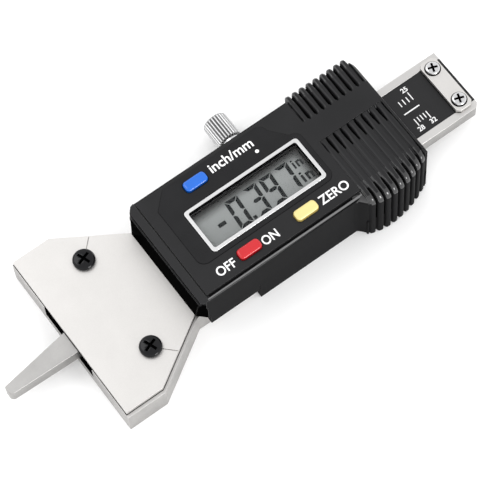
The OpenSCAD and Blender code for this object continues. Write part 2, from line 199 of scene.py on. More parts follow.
def clear(name, gloss):
    """Thin clear plastic: see-through, with a faint reflection."""
    material = bpy.data.materials.new(name)
    material.use_nodes = True
    tree = material.node_tree
    tree.nodes.remove(tree.nodes["Principled BSDF"])
    glassy = tree.nodes.new("ShaderNodeBsdfGlossy")
    glassy.inputs["Roughness"].default_value = 0.05
    through = tree.nodes.new("ShaderNodeBsdfTransparent")
    mix = tree.nodes.new("ShaderNodeMixShader")
    mix.inputs["Fac"].default_value = gloss
    tree.links.new(through.outputs["BSDF"], mix.inputs[1])
    tree.links.new(glassy.outputs["BSDF"], mix.inputs[2])
    tree.links.new(mix.outputs["Shader"], tree.nodes["Material Output"].inputs["Surface"])
    return material


STEEL = metal("steel", (0.56, 0.55, 0.54), 0.42, grain=4200)
PLATE_STEEL = metal("plate_steel", (0.61, 0.597, 0.583), 0.5, grain=5200, strength=0.15, dark=0.97)
PROBE_STEEL = metal(
    "probe_steel", (0.41, 0.403, 0.396), 0.42, grain=3000, relief=0.02, strength=0.4, dark=0.85,
)
STEEL_SIDE = metal(
    "ground_sides", (0.46, 0.45, 0.44), 0.45, grain=2600, relief=0.03, strength=0.6, dark=0.7,
)
BRUSHED = metal("brushed_steel", (0.59, 0.58, 0.57), 0.36, stretch=(0.12, 1, 1), strength=0.2)
BLACK_OXIDE = plastic(
    "black_oxide", (0.004, 0.004, 0.005), 0.14,
    grain=900, relief=0.004, strength=0.1, specular=0.4, ior=1.35,
)
BRIGHT = metal("bright_plating", (0.62, 0.62, 0.63), 0.16, strength=0.1)
KNURL = metal("knurled_plating", (0.56, 0.56, 0.565), 0.24, grain=900, relief=0.002, strength=0.05)
BRASS = metal("brass", (0.83, 0.62, 0.27), 0.3)
CONTACT = metal("contact_spring", (0.85, 0.7, 0.4), 0.22)
CELL = metal("nickel", (0.6, 0.6, 0.605), 0.2, stretch=(1, 0.15, 1))
BEZEL = metal("bezel_plating", (0.64, 0.64, 0.645), 0.34, strength=0.08, dark=0.96)
HOUSING = plastic("housing_plastic", (0.009, 0.009, 0.010), 0.33, specular=0.26)
HOUSING_SIDE = plastic("housing_side", (0.012, 0.012, 0.0125), 0.45, specular=0.3, ior=1.07)
# A lighter grey on the housing's small rounded edges: wear, and a painted highlight
HOUSING_EDGE_WEAR_HIGHLIGHT = plastic("housing_edge_wear_highlight", (0.06, 0.06, 0.061), 0.26, specular=0.6)
# A light grey that paints the highlight along the housing's rounded rims
RIM_HIGHLIGHT = plastic("rim_painted_highlight", (0.13, 0.13, 0.132), 0.3, specular=0.9)
GRIP_SHINE = plastic("grip_shine", (0.012, 0.012, 0.013), 0.16, grain=900, relief=0.01, specular=0.7)
# The wall under the front lip: a real rough texture, and a near-black colour that paints the shade under
# the lip
HOUSING_ROUGH_SHADE = plastic(
    "housing_blasted_shade", (0.001, 0.001, 0.001), 0.4,
    grain=1700, relief=0.05, strength=0.6, specular=0.1, ior=1.02,
)
# Near black painted where shade falls: recesses, grooves, edges, and under and round plates and screws
PAINTED_SHADE = plastic("painted_shade_black", (0.002, 0.002, 0.002), 0.6, specular=0.1, ior=1.05)
SHADED = metal("shaded_metal", (0.26, 0.26, 0.26), 0.4)
FILM = plastic(
    "overlay_film", (0.007, 0.007, 0.008), 0.3, grain=5000, relief=0.004, strength=0.1, specular=0.22,
)
PRINT_BLACK = plastic("scale_film", (0.008, 0.008, 0.009), 0.45, grain=4000, relief=0.004, specular=0.3)
PRINT_WHITE = plastic("white_ink", (0.86, 0.86, 0.86), 0.55, grain=5000, relief=0.003, dark=0.95)
BLUE = plastic("blue_cap", (0.006, 0.12, 0.56), 0.2, grain=2200, relief=0.004, dark=0.92)
RED = plastic("red_cap", (0.50, 0.008, 0.014), 0.2, grain=2200, relief=0.004, dark=0.92)
YELLOW = plastic("yellow_cap", (0.72, 0.61, 0.25), 0.24, grain=2200, relief=0.004, dark=0.94)
LCD_GREY = display_grey("lcd_grey", (0.225, 0.238, 0.236))
# Darker copies of the caps' colours, painted as shade on their sides
BLUE_SIDE_SHADE = plastic("blue_side_shade", (0.003, 0.05, 0.24), 0.35, ior=1.2)
RED_SIDE_SHADE = plastic("red_side_shade", (0.22, 0.004, 0.007), 0.35, ior=1.2)
YELLOW_SIDE_SHADE = plastic("yellow_side_shade", (0.36, 0.27, 0.08), 0.35, ior=1.2)
LCD_INK = plastic("lcd_segment", (0.003, 0.005, 0.006), 0.4, grain=6000, relief=0.001, specular=0.03)
RUBBER = plastic("conductive_rubber", (0.6, 0.24, 0.3), 0.7, grain=1500)
BOARD = plastic("solder_mask", (0.012, 0.14, 0.05), 0.3, grain=1800, relief=0.006)
RESIN = plastic("resin", (0.01, 0.01, 0.01), 0.12, grain=500, relief=0.03)
WINDOW = clear("window", 0.018)


# ------------------------------------------------------------------- shapes


def mesh_object(name, bm, material, body, bevel=0.0, segments=2, edge_material=None):
    """Turns a bmesh drawn in millimetres into a piece that rides on a CAD body."""
    bmesh.ops.scale(bm, vec=(MM, MM, MM), verts=bm.verts)
    bmesh.ops.recalc_face_normals(bm, faces=bm.faces)
    if not bevel:
        for edge in bm.edges:
            edge.smooth = edge.calc_face_angle(0.0) < SMOOTH_BELOW
    mesh = bpy.data.meshes.new(name)
    bm.to_mesh(mesh)
    bm.free()
    piece = bpy.data.objects.new(name, mesh)
    SCENE.collection.objects.link(piece)
    return finish_piece(piece, material, body, bevel, segments, edge_material)


def finish_piece(piece, material, body, bevel, segments, edge_material):
    """Material, rounded edges and smooth shading for a piece."""
    piece.data.materials.clear()
    piece.data.materials.append(material)
    if edge_material:
        piece.data.materials.append(edge_material)
    piece.data.polygons.foreach_set("use_smooth", [True] * len(piece.data.polygons))
    if bevel:
        edge = piece.modifiers.new("edge", "BEVEL")
        edge.width = bevel * MM
        edge.segments = segments
        edge.limit_method = "ANGLE"
        edge.angle_limit = SHARP_ABOVE
        edge.use_clamp_overlap = True
        edge.material = 1 if edge_material else -1
    normals = piece.modifiers.new("normals", "WEIGHTED_NORMAL")
    normals.keep_sharp = True
    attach(piece, body)
    return piece


def body_of_node(node):
    """The name of the body that a CAD node rides on."""
    return frame["nodes"][node]["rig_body"]


def cad_copy(node):
    """The CAD node's own mesh as a clean bmesh in millimetres."""
    bm = bmesh.new()
    bm.from_mesh(frame["nodes"][node].data)
    bmesh.ops.scale(bm, vec=(1 / MM,) * 3, verts=bm.verts)
    bmesh.ops.remove_doubles(bm, verts=bm.verts, dist=1e-4)
    bmesh.ops.dissolve_limit(bm, angle_limit=math.radians(0.4), verts=bm.verts, edges=bm.edges)
    return bm


def from_cad(node, name, material, bevel=0.0, segments=2, edge_material=None):
    """A clean copy of a CAD node with its edges rounded, shown in the node's place."""
    bm = cad_copy(node)
    piece = mesh_object(name, bm, material, body_of_node(node), bevel, segments, edge_material)
    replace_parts(piece, node)
    return piece


def round_edges(bm, chosen, width, segments=4, material=-1):
    """Rounds the sharp edges whose two ends, in millimetres, pass a test."""
    sharp = [
        edge for edge in bm.edges
        if edge.is_manifold and edge.calc_face_angle(0.0) > SHARP_ABOVE
        and all(chosen(vert.co) for vert in edge.verts)
    ]
    bmesh.ops.bevel(
        bm, geom=sharp, offset=width, segments=segments, profile=0.5,
        affect="EDGES", clamp_overlap=False, material=material,
    )


def split_at(bm, point, normal):
    """Divides every face that crosses a plane."""
    everything = bm.verts[:] + bm.edges[:] + bm.faces[:]
    bmesh.ops.bisect_plane(bm, geom=everything, plane_co=point, plane_no=normal)


def cut_out(bm, cutter):
    """The solid bm less the solid cutter, as a new bmesh."""
    objects = []
    for name, solid in (("cut_target", bm), ("cut_tool", cutter)):
        mesh = bpy.data.meshes.new(name)
        bmesh.ops.recalc_face_normals(solid, faces=solid.faces)
        solid.to_mesh(mesh)
        solid.free()
        objects.append(bpy.data.objects.new(name, mesh))
        SCENE.collection.objects.link(objects[-1])
    target, tool = objects
    difference = target.modifiers.new("difference", "BOOLEAN")
    difference.operation = "DIFFERENCE"
    difference.solver = "EXACT"
    difference.object = tool
    result = bmesh.new()
    result.from_object(target, bpy.context.evaluated_depsgraph_get())
    for item in objects:
        mesh = item.data
        bpy.data.objects.remove(item)
        bpy.data.meshes.remove(mesh)
    return result


def loft(bm, sections):
    """A closed solid through sections with equal numbers of points."""
    rings = [[bm.verts.new(point) for point in section] for section in sections]
    count = len(rings[0])
    for low_ring, high_ring in zip(rings, rings[1:]):
        for i in range(count):
            j = (i + 1) % count
            bm.faces.new((low_ring[i], low_ring[j], high_ring[j], high_ring[i]))
    bm.faces.new(rings[0][::-1])
    bm.faces.new(rings[-1])


def turned(bm, centre, profile, count=48):
    """A solid of revolution about a vertical axis, through the (z, radius) points of a profile."""
    angles = [2 * math.pi * i / count for i in range(count)]
    x, y, base_z = centre
    loft(bm, [
        [(x + radius * math.cos(a), y + radius * math.sin(a), base_z + z) for a in angles]
        for z, radius in profile
    ])


def paint_where(piece, material, chosen):
    """Gives a second material to the faces whose centre, in millimetres, passes a test."""
    piece.data.materials.append(material)
    for face in piece.data.polygons:
        if chosen(face.center / MM, face.normal):
            face.material_index = len(piece.data.materials) - 1


def prism(points, z0, z1):
    """A bmesh prism over a closed outline, from z0 to z1."""
    bm = bmesh.new()
    add_prism(bm, points, z0, z1)
    return bm


def add_prism(bm, points, z0, z1):
    """Adds a prism over a closed outline to a bmesh."""
    low = [bm.verts.new((x, y, z0)) for x, y in points]
    high = [bm.verts.new((x, y, z1)) for x, y in points]
    bm.faces.new(low[::-1])
    bm.faces.new(high)
    for i in range(len(points)):
        j = (i + 1) % len(points)
        bm.faces.new((low[i], low[j], high[j], high[i]))


def bar(x0, y0, x1, y1):
    """The outline of a rectangle."""
    return [(x0, y0), (x1, y0), (x1, y1), (x0, y1)]


def add_box(bm, low, high):
    """Adds a box between two opposite corners to a bmesh."""
    add_prism(bm, bar(low[0], low[1], high[0], high[1]), low[2], high[2])


def label(name, words, at, height, z, body, squeeze=1.0, weight=0.02):
    """Plain printed lettering, centred on a point, with its capitals the given height."""
    curve = bpy.data.curves.new(name, "FONT")
    curve.body = words
    curve.align_x = "CENTER"
    curve.align_y = "CENTER"
    curve.size = height / CAPITAL_SHARE * MM
    curve.offset = weight * height * MM
    curve.extrude = LETTER_HALF * MM
    curve.materials.append(PRINT_WHITE)
    piece = bpy.data.objects.new(name, curve)
    SCENE.collection.objects.link(piece)
    piece.location = (at[0] * MM, at[1] * MM, z * MM)
    piece.scale = (squeeze, 1, 1)
    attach(piece, body)


# --------------------------------------------------------------- CAD pieces

GAUGE = body_of_node("front_housing")
BEAM = body_of_node("slide_beam")
LOCK = body_of_node("lock_screw")
COVER = body_of_node("battery_cover")

# The housing's heights and walls
CASE_TOP = 16.4
RIM_TOP = 15.7
SEAM = 6.3
CASE_SIDE = 13.5
CASE_END = 82.2
FRONT_LIP_X = 25.4
FRONT_LIP_Z = 14.5

# The guide channel in the base
GUIDE_HALF = 9.4
GUIDE_LOW, GUIDE_HIGH = 2.6, 6.48


def near(value, target, reach=0.08):
    """Whether a value lies within reach of a target."""
    return abs(value - target) < reach


def steep(centre, normal):
    """Faces that stand nearly upright."""
    return abs(normal.z) < 0.3


def in_guide(centre, normal):
    """Faces of the base's guide channel, painted black as the shade behind the probe."""
    return abs(centre.y) < GUIDE_HALF and GUIDE_LOW < centre.z < GUIDE_HIGH and centre.x > 0.01


def front_wall(centre, normal):
    """The housing's rough wall under its front lip, painted near black as the lip's shade."""
    return centre.x < FRONT_LIP_X and centre.z < FRONT_LIP_Z and normal.x < -0.3


def upright(centre, normal):
    """The housing's side walls, which are matt."""
    return steep(centre, normal) and centre.z < RIM_TOP


base = from_cad("base_block", "base_block_steel", STEEL, 0.18)
paint_where(base, STEEL_SIDE, steep)
paint_where(base, PAINTED_SHADE, in_guide)
from_cad("base_cover_plate", "base_plate_steel", PLATE_STEEL, 0.05)

# A black sheet under the cover plate, painted shadow that shows as a dark line round the plate
plate_low, plate_high = (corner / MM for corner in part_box("base_cover_plate"))
plate_outline = [
    (0.12, -20.47), (9.35, -20.47), (24.25, -10.97), (26.2, -10.97),
    (26.2, 11.78), (24.25, 11.78), (9.35, 21.14), (0.12, 21.14),
]
gap = prism(plate_outline, plate_low.z - 0.02, plate_low.z + 0.05)
mesh_object("base_plate_gap", gap, PAINTED_SHADE, GAUGE)

# -------------------------------------------------------- cross-head screws

# A screw head's rim and dome as shares of its height, and the dome's top as a share of its radius
HEAD_RIM = 0.35
HEAD_DOME = 0.5
HEAD_FLAT = 0.72
HEAD_STEPS = 6


def head_profile(radius, height, shank_radius, shank_length):
    """Heights and radii up a screw: its shank, the rim of its head and its low dome."""
    profile = [
        (-shank_length, shank_radius * 0.7), (-shank_length + 0.3, shank_radius), (-0.01, shank_radius),
        (0, radius * 0.97), (height * HEAD_RIM, radius),
    ]
    for step in range(1, HEAD_STEPS):
        angle = math.radians(90 * step / HEAD_STEPS)
        up = HEAD_RIM + HEAD_DOME * math.sin(angle)
        out = HEAD_FLAT + (1 - HEAD_FLAT) * math.cos(angle)
        profile.append((height * up, radius * out))
    return profile + [(height * 0.93, radius * 0.55), (height, radius * 0.2)]


def cross_outline(centre, half, wide, turn):
    """A plus sign about a point, with arms of a half length and a half width."""
    plus = [
        (half, -wide), (half, wide), (wide, wide), (wide, half), (-wide, half), (-wide, wide),
        (-half, wide), (-half, -wide), (-wide, -wide), (-wide, -half), (wide, -half), (wide, -wide),
    ]
    c, s = math.cos(turn), math.sin(turn)
    return [(centre[0] + x * c - y * s, centre[1] + x * s + y * c) for x, y in plus]


def screw_head(name, node, centre, radius, height, shank, cross, turn, material, body):
    """A cross-head screw. shank is (radius, length) and cross is (length, width, depth)."""
    length, width, depth = cross
    top_z = centre[2] + height
    floor_z = top_z - depth
    solid = bmesh.new()
    turned(solid, centre, head_profile(radius, height, *shank))
    outline = cross_outline(centre, length / 2, width / 2, math.radians(turn))
    tool = prism(outline, floor_z, top_z + 0.5)
    piece = mesh_object(name, cut_out(solid, tool), material, body, 0.04, 2)

    def in_recess(point, normal):
        """The floor and the walls of the cross, painted black as the shade in it."""
        away = math.hypot(point.x - centre[0], point.y - centre[1])
        floor = near(point.z, floor_z, 0.02) and normal.z > 0.9
        wall = abs(normal.z) < 0.1 and point.z > floor_z - 0.01
        return away < length / 2 + 0.02 and (floor or wall)

    paint_where(piece, PAINTED_SHADE, in_recess)
    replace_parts(piece, node)


for name, y in (("far", 12.6), ("near", -11.6)):
    screw_head(
        f"base_screw_{name}", "base_screws", (12.45, y, plate_high.z), radius=2.45, height=1.35,
        shank=(1.25, 5.5), cross=(3.1, 0.62, 0.85), turn=20, material=BLACK_OXIDE, body=GAUGE,
    )

from_cad("gib_strip", "gib_strip_brass", BRASS, 0.05)
from_cad("lock_pad", "lock_pad_brass", BRASS, 0.1)

# --------------------------------------------------------------- lock screw
# Threaded shank, collar and straight-knurled head, drawn upright and laid along +Y

LOCK_X, LOCK_Z = 53.7, 4.45
THREAD_START, THREAD_PITCH, THREADS = 10.0, 0.5, 8
THREAD_CORE, THREAD_CREST = 1.25, 1.5
COLLAR = [(14.1, THREAD_CREST), (14.15, 2.3), (14.3, 2.42), (17.6, 2.42), (17.85, 2.3)]
KNURLS = 24
TOOTH_STEPS = 8
TOOTH_DEPTH = 0.36

# Height, radius and share of the tooth depth along the knurled head
KNOB_RINGS = [
    (17.8, 2.3, 0), (17.82, 2.55, 0.2), (18.05, 2.88, 1), (23.6, 2.88, 1), (23.95, 2.6, 0.35),
    (24.1, 2.35, 0), (24.25, 1.8, 0), (24.35, 1.0, 0),
]
KNURL_MIDDLE, KNURL_HALF = 20.9, 3.1
VALLEY_RADIUS = 2.69


def lay_along_y(bm):
    """Turns an upright part so that its height runs along +Y through the lock screw's axis."""
    turn = Matrix.Rotation(math.radians(-90), 4, "X")
    bmesh.ops.transform(bm, matrix=Matrix.Translation((LOCK_X, 0, LOCK_Z)) @ turn, verts=bm.verts)


def knob_ring(height, radius, share):
    """One toothed ring of the knurled head, with its share of the full tooth depth."""
    ring = []
    for i in range(KNURLS * TOOTH_STEPS):
        angle = 2 * math.pi * i / (KNURLS * TOOTH_STEPS)
        valley = (0.5 - 0.5 * math.cos(2 * math.pi * i / TOOTH_STEPS)) ** 1.5
        reach = radius - TOOTH_DEPTH * share * valley
        ring.append((reach * math.cos(angle), reach * math.sin(angle), height))
    return ring


def in_valley(centre, normal):
    """The valleys between the knurled head's teeth, painted a darker metal as shade."""
    away = math.hypot(centre.x - LOCK_X, centre.z - LOCK_Z)
    return near(centre.y, KNURL_MIDDLE, KNURL_HALF) and away < VALLEY_RADIUS


thread = [(THREAD_START, THREAD_CORE)]
for number in range(THREADS):
    start = THREAD_START + number * THREAD_PITCH
    thread += [(start + 0.1, THREAD_CORE), (start + 0.3, THREAD_CREST), (start + 0.4, THREAD_CREST)]
shank = bmesh.new()
turned(shank, (0, 0, 0), thread + COLLAR)
lay_along_y(shank)
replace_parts(mesh_object("lock_screw_shank", shank, BRIGHT, LOCK), "lock_screw")

knob = bmesh.new()
loft(knob, [knob_ring(*ring) for ring in KNOB_RINGS])
lay_along_y(knob)
knob_piece = mesh_object("lock_screw_knurled", knob, KNURL, LOCK)
paint_where(knob_piece, SHADED, in_valley)
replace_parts(knob_piece, "lock_screw")

# -------------------------------------------------------------------- grips
# Rounded ribs across the case, worked as one sculpted skin on each side

RIBS = 9
RIB_X0 = 66.3
RIB_PITCH = 1.8
RIB_LAST = RIB_X0 + (RIBS - 1) * RIB_PITCH
RIB_HALF = 0.72
GRIP_STEP = 0.09
TOP_STEPS = 25
SHOULDER_STEPS = 10
SKIN_UNDER = CASE_TOP - 1.9
SEAM_GAP = 0.05

# Near grip, which is the battery cover. Groove depths are at the inner end, along the top and
# down the side
COVER_X = (65.6, 81.4)
COVER_INNER = 1.5
COVER_INSIDE = 12.1
NEAR_SHOULDER = 2.4
NEAR_DEPTHS = (0.75, 0.26, 0.7)
GRIP_REACH = 16.8
GRIP_CENTRE = 70.5
GRIP_FRONT_R = 12.0
GRIP_BACK_R = 22.5
RAIL_OUT, RAIL_IN = 0.3, 0.5
RAIL_Y = -12
RAIL_LOW, RAIL_HIGH = 14.9, 15.4

# Far grip, which is part of the housing
FAR_X = (65.3, 82.19)
FAR_INNER = 7.0
FAR_INSIDE = 12.05
FAR_SHOULDER = 0.9
FAR_DEPTHS = (0.8, 0.55, 0.9)
FAR_WALL = 1.5
FAR_BUMP = 0.95
END_CORNER = 1.9
END_BEVEL = 0.55

# The flare between the near wall and the near grip
KNEE_X = 63.4
KNEE_ROUND = 1.6
KNEE_LOW, KNEE_HIGH = 0.3, RIM_TOP - 0.1
KNEE_STEPS = 6

# The near rim's rounding, and the material slot that paints a highlight on the housing's rounded rims
RIM_ROUND = 0.58
RIM_HIGHLIGHT_SLOT = 2


def smooth(value, start, end):
    """0 before start, 1 after end, with a soft change between."""
    t = min(max((value - start) / (end - start), 0.0), 1.0)
    return t * t * (3 - 2 * t)


def groove_at(x):
    """How deep the grooves are at x, from 0 on a rib's crest to 1 in a groove."""
    place = min(max(round((x - RIB_X0) / RIB_PITCH), 0), RIBS - 1)
    away = abs(x - RIB_X0 - place * RIB_PITCH)
    if x < RIB_X0 or x > RIB_LAST:
        return 0.6 * smooth(away, 0.3, RIB_HALF) * (1 - smooth(away, RIB_HALF, RIB_HALF + 0.15))
    return 1 - math.sqrt(max(1 - (away / RIB_HALF) ** 2.6, 0))


def bulge_y(x):
    """Outer line of the near grip: a tight curve in front and a long one behind."""
    radius = GRIP_FRONT_R if x < GRIP_CENTRE else GRIP_BACK_R
    return GRIP_REACH - radius + math.sqrt(radius ** 2 - (x - GRIP_CENTRE) ** 2)


def far_y(x):
    """Outer line of the far grip's ribs, rounded into the end of the housing."""
    over = max(x - (CASE_END - END_CORNER), 0)
    wall = CASE_SIDE - END_CORNER + math.sqrt(max(END_CORNER ** 2 - over ** 2, 0))
    return wall + FAR_BUMP * smooth(x, 65.5, 66.0) * (1 - smooth(x, 81.0, 81.5))


def in_groove(centre, normal):
    """The bottoms of the grooves between ribs, painted black as shade."""
    inside = RIB_X0 < centre.x < RIB_LAST
    deep = -2.8 < centre.y < COVER_INNER - 0.3 or centre.y < -12.5 or centre.y > FAR_INNER
    return inside and deep and groove_at(centre.x) > 0.93


def on_shoulder(centre, normal):
    """The rounded outer ends of the ribs, polished by use."""
    return centre.z > CASE_TOP - 3 and 0.15 < normal.z < 0.93 and (centre.y < -11 or centre.y > 12)


def skin(x, inner, outer, side, drop, radius, depths, wall):
    """One closed section of a grip at x.

    The top runs from y = inner to the rounded shoulder at y = outer and down to the seam.
    """
    top = CASE_TOP - drop
    run = outer - radius - inner
    at_start, along, down = depths
    groove = groove_at(x)
    points = []
    for i in range(TOP_STEPS):
        y = inner + run * i / TOP_STEPS
        reach = y - inner
        open_end = smooth(reach, 0.25, 0.6)
        depth = at_start + (along - at_start) * smooth(reach, 1.5, 4.0)
        depth += (down - along) * smooth(y, outer - radius - 2.0, outer - radius)
        points.append((y, top - depth * open_end * groove))
    for i in range(SHOULDER_STEPS + 1):
        angle = math.radians(90 * i / SHOULDER_STEPS)
        cut = radius - down * groove
        points.append((outer - radius + cut * math.sin(angle), top - radius + cut * math.cos(angle)))
    points += [(outer - down * groove, SEAM + SEAM_GAP), (outer - wall, SEAM + SEAM_GAP)]
    points += [(outer - wall, SKIN_UNDER), (inner, SKIN_UNDER)]
    return [(x, side * y, z) for y, z in points]


def positions(span):
    """Positions along a span, close enough to draw each rib round."""
    count = round((span[1] - span[0]) / GRIP_STEP)
    return [span[0] + (span[1] - span[0]) * i / count for i in range(count + 1)]


def near_section(x):
    """One closed section of the near grip."""
    reach = bulge_y(x)
    return skin(x, -COVER_INNER, reach, -1, 0, NEAR_SHOULDER, NEAR_DEPTHS, reach - COVER_INSIDE)


def far_section(x):
    """One closed section of the far grip, lower where the housing's end is bevelled."""
    drop = max(x - CASE_END + END_BEVEL, 0)
    return skin(x, FAR_INNER, far_y(x), 1, drop, FAR_SHOULDER, FAR_DEPTHS, FAR_WALL)


def paint_grip(piece, node):
    """Matt walls, polished shoulders and painted shade in the grooves, in the CAD node's place."""
    paint_where(piece, HOUSING_SIDE, upright)
    paint_where(piece, GRIP_SHINE, on_shoulder)
    paint_where(piece, PAINTED_SHADE, in_groove)
    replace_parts(piece, node)


near_skin = bmesh.new()
loft(near_skin, [near_section(x) for x in positions(COVER_X)])
front_rail = (COVER_X[0] - RAIL_OUT, COVER_X[0] + RAIL_IN)
back_rail = (COVER_X[1] - RAIL_IN, COVER_X[1] + RAIL_OUT)
for start, end in (front_rail, back_rail):
    add_box(near_skin, (start, RAIL_Y, RAIL_LOW), (end, COVER_INNER, RAIL_HIGH))
paint_grip(mesh_object("battery_lid_ribbed", near_skin, HOUSING, COVER), "battery_cover")

# ------------------------------------------------------------ front housing


def in_far_grip(centre):
    """Faces of the housing that the far grip's skin stands in for."""
    outside = centre.z > SKIN_UNDER + 0.05 or centre.y > FAR_INSIDE
    return centre.x > FAR_X[0] and centre.y > FAR_INNER and outside


def on_near_rim(point):
    """The near side's upper edge, between the front strip and the grip."""
    return near(point.y, -CASE_SIDE) and near(point.z, RIM_TOP) and 26 < point.x < 66


def on_back_edge(point):
    """The top edge of the housing's end, up to the far grip."""
    return near(point.x, CASE_END) and near(point.z, CASE_TOP) and point.y < FAR_INNER + 0.01


def near_ledge(centre, normal):
    """The narrow ledge along the near side, under the case's top, painted with the rim's highlight."""
    return centre.y < -12.5 and near(centre.z, RIM_TOP) and normal.z > 0.9 and centre.x < 66


def knee_section(x):
    """One closed section of the flare that leads the near wall into the near grip."""
    flare_out = (bulge_y(COVER_X[0]) - CASE_SIDE) * smooth(x, KNEE_X, COVER_X[0] + 0.6)
    reach = CASE_SIDE + flare_out + 0.01
    inner = 0.3 - CASE_SIDE
    shoulder_z = KNEE_HIGH - KNEE_ROUND
    points = [(x, inner, KNEE_LOW), (x, -reach, KNEE_LOW), (x, -reach, shoulder_z)]
    for i in range(1, KNEE_STEPS + 1):
        angle = math.radians(90 * i / KNEE_STEPS)
        y = KNEE_ROUND - reach - KNEE_ROUND * math.cos(angle)
        points.append((x, y, shoulder_z + KNEE_ROUND * math.sin(angle)))
    return points + [(x, inner + KNEE_ROUND, KNEE_HIGH)]


shell = cad_copy("front_housing")
for point, normal in (
    ((0, FAR_INNER, 0), (0, 1, 0)),
    ((FAR_X[0], 0, 0), (1, 0, 0)),
    ((0, 11.5, 0), (0, 1, 0)),
    ((0, 0, SKIN_UNDER), (0, 0, 1)),
):
    split_at(shell, point, normal)
doomed = [face for face in shell.faces if in_far_grip(face.calc_center_median())]
bmesh.ops.delete(shell, geom=doomed, context="FACES")
# The rounded near rim and the bevelled back edge take the painted highlight
round_edges(shell, on_near_rim, RIM_ROUND, 6, RIM_HIGHLIGHT_SLOT)
round_edges(shell, on_back_edge, END_BEVEL, 2, RIM_HIGHLIGHT_SLOT)
# Its small rounded edges take the lighter grey of wear and painted highlight
housing = mesh_object("housing_shell", shell, HOUSING, GAUGE, 0.09, 2, HOUSING_EDGE_WEAR_HIGHLIGHT)
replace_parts(housing, "front_housing")
housing.data.materials.append(RIM_HIGHLIGHT)
paint_where(housing, HOUSING_SIDE, upright)
paint_where(housing, HOUSING_ROUGH_SHADE, front_wall)
paint_where(housing, RIM_HIGHLIGHT, near_ledge)

flare = bmesh.new()
loft(flare, [knee_section(x) for x in positions((KNEE_X, COVER_X[0] + 0.02))])
knee_piece = mesh_object("housing_knee", flare, GRIP_SHINE, GAUGE)
paint_where(knee_piece, HOUSING_SIDE, upright)
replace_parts(knee_piece, "front_housing")

far_skin = bmesh.new()
loft(far_skin, [far_section(x) for x in positions(FAR_X)])
paint_grip(mesh_object("housing_far_grip", far_skin, HOUSING, GAUGE), "front_housing")

# ------------------------------------------------------ display and buttons

LCD_CENTRE = (47.7, -0.2)
VIEW_HALF = (13.8, 4.85)
CAP_ROUND = 0.6

# The film's rounded edges in near black, a painted shade outline round it
from_cad("display_overlay", "display_film", FILM, 0.05, 1, PAINTED_SHADE)


def inner_wall(centre, normal):
    """The bezel's inner sides, which lie in its own shade."""
    along = near(centre.x, LCD_CENTRE[0], VIEW_HALF[0])
    across = near(centre.y, LCD_CENTRE[1], VIEW_HALF[1])
    return along and across and abs(normal.z) < 0.5


bezel = from_cad("lcd_bezel", "bezel_frame", BEZEL, 0.12, 3)
paint_where(bezel, PAINTED_SHADE, inner_wall)
from_cad("lcd_window", "window_pane", WINDOW)
from_cad("lcd_panel", "lcd_glass", LCD_GREY, 0.05)
from_cad("lcd_holder", "lcd_frame", HOUSING_SIDE, 0.1)
from_cad("zebra_strips", "zebra_rubber", RUBBER, 0.05)
from_cad("circuit_board", "board_green", BOARD, 0.05)
from_cad("controller_chip", "chip_resin", RESIN, 0.15)
from_cad("button_domes", "dome_switches", CONTACT, 0.05)
for node, name, top, side in (
    ("unit_button", "unit_cap", BLUE, BLUE_SIDE_SHADE),
    ("power_button", "power_cap", RED, RED_SIDE_SHADE),
    ("zero_button", "zero_cap", YELLOW, YELLOW_SIDE_SHADE),
):
    cap_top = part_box(node)[1].z / MM
    solid = cad_copy(node)
    round_edges(solid, lambda point: near(point.z, cap_top, 0.02), CAP_ROUND, 6)
    cap = mesh_object(name, solid, top, body_of_node(node))
    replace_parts(cap, node)
    # The caps' sides in the darker copy of their colour, painted shade
    paint_where(cap, side, lambda centre, normal: abs(normal.z) < 0.5)
from_cad("battery", "button_cell", CELL, 0.3, 3)
from_cad("battery_holder", "cell_ring", HOUSING, 0.1)
from_cad("battery_contact_positive", "contact_plus", CONTACT, 0.05)
from_cad("battery_contact_negative", "contact_minus", CONTACT, 0.05)

# --------------------------------------------------------------- rear cover

BULGE_IN = 13.45
REAR_GROOVE = 0.7

rear_solid = cad_copy("rear_cover")
split_at(rear_solid, (0, -BULGE_IN - 0.02, 0), (0, 1, 0))
doomed = [face for face in rear_solid.faces if face.calc_center_median().y < -BULGE_IN - 0.1]
bmesh.ops.delete(rear_solid, geom=doomed, context="FACES")
rear = mesh_object("rear_shell", rear_solid, HOUSING, GAUGE, 0.16, 3)
paint_where(rear, HOUSING_SIDE, upright)
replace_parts(rear, "rear_cover")


def rear_section(x):
    """One closed section of the rear cover's part of the near grip."""
    reach = max(bulge_y(x), CASE_SIDE + 0.01) - REAR_GROOVE * groove_at(x)
    inner = 0.3 - BULGE_IN
    return [
        (x, inner, 0.02), (x, 0.35 - reach, 0.02), (x, 0.1 - reach, 0.12), (x, -reach, 0.4),
        (x, -reach, SEAM), (x, inner, SEAM),
    ]


bulge = bmesh.new()
loft(bulge, [rear_section(x) for x in positions((65.2, 81.8))])
bulge_piece = mesh_object("rear_shell_grip", bulge, HOUSING, GAUGE)
paint_where(bulge_piece, HOUSING_SIDE, upright)
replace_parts(bulge_piece, "rear_cover")
from_cad("rear_screws", "rear_screws_black", BLACK_OXIDE, 0.1)

# --------------------------------------------------------------------- beam

PROBE_ROOT = 9.6
BEAM_HALF = 8.1
STOP_CORNER = 0.8
STOP_SHADOW_R = 1.8


def on_probe(centre, normal):
    """The probe, from its tip to the root of the beam."""
    return centre.x < PROBE_ROOT


def beam_side(centre, normal):
    """The beam's sides and the walls of its channel."""
    return steep(centre, normal) and abs(centre.y) < BEAM_HALF


def cut_corners(low, high, corner):
    """A rectangle with its four corners cut off."""
    return [
        (low.x + corner, low.y), (high.x - corner, low.y), (high.x, low.y + corner),
        (high.x, high.y - corner), (high.x - corner, high.y), (low.x + corner, high.y),
        (low.x, high.y - corner), (low.x, low.y + corner),
    ]


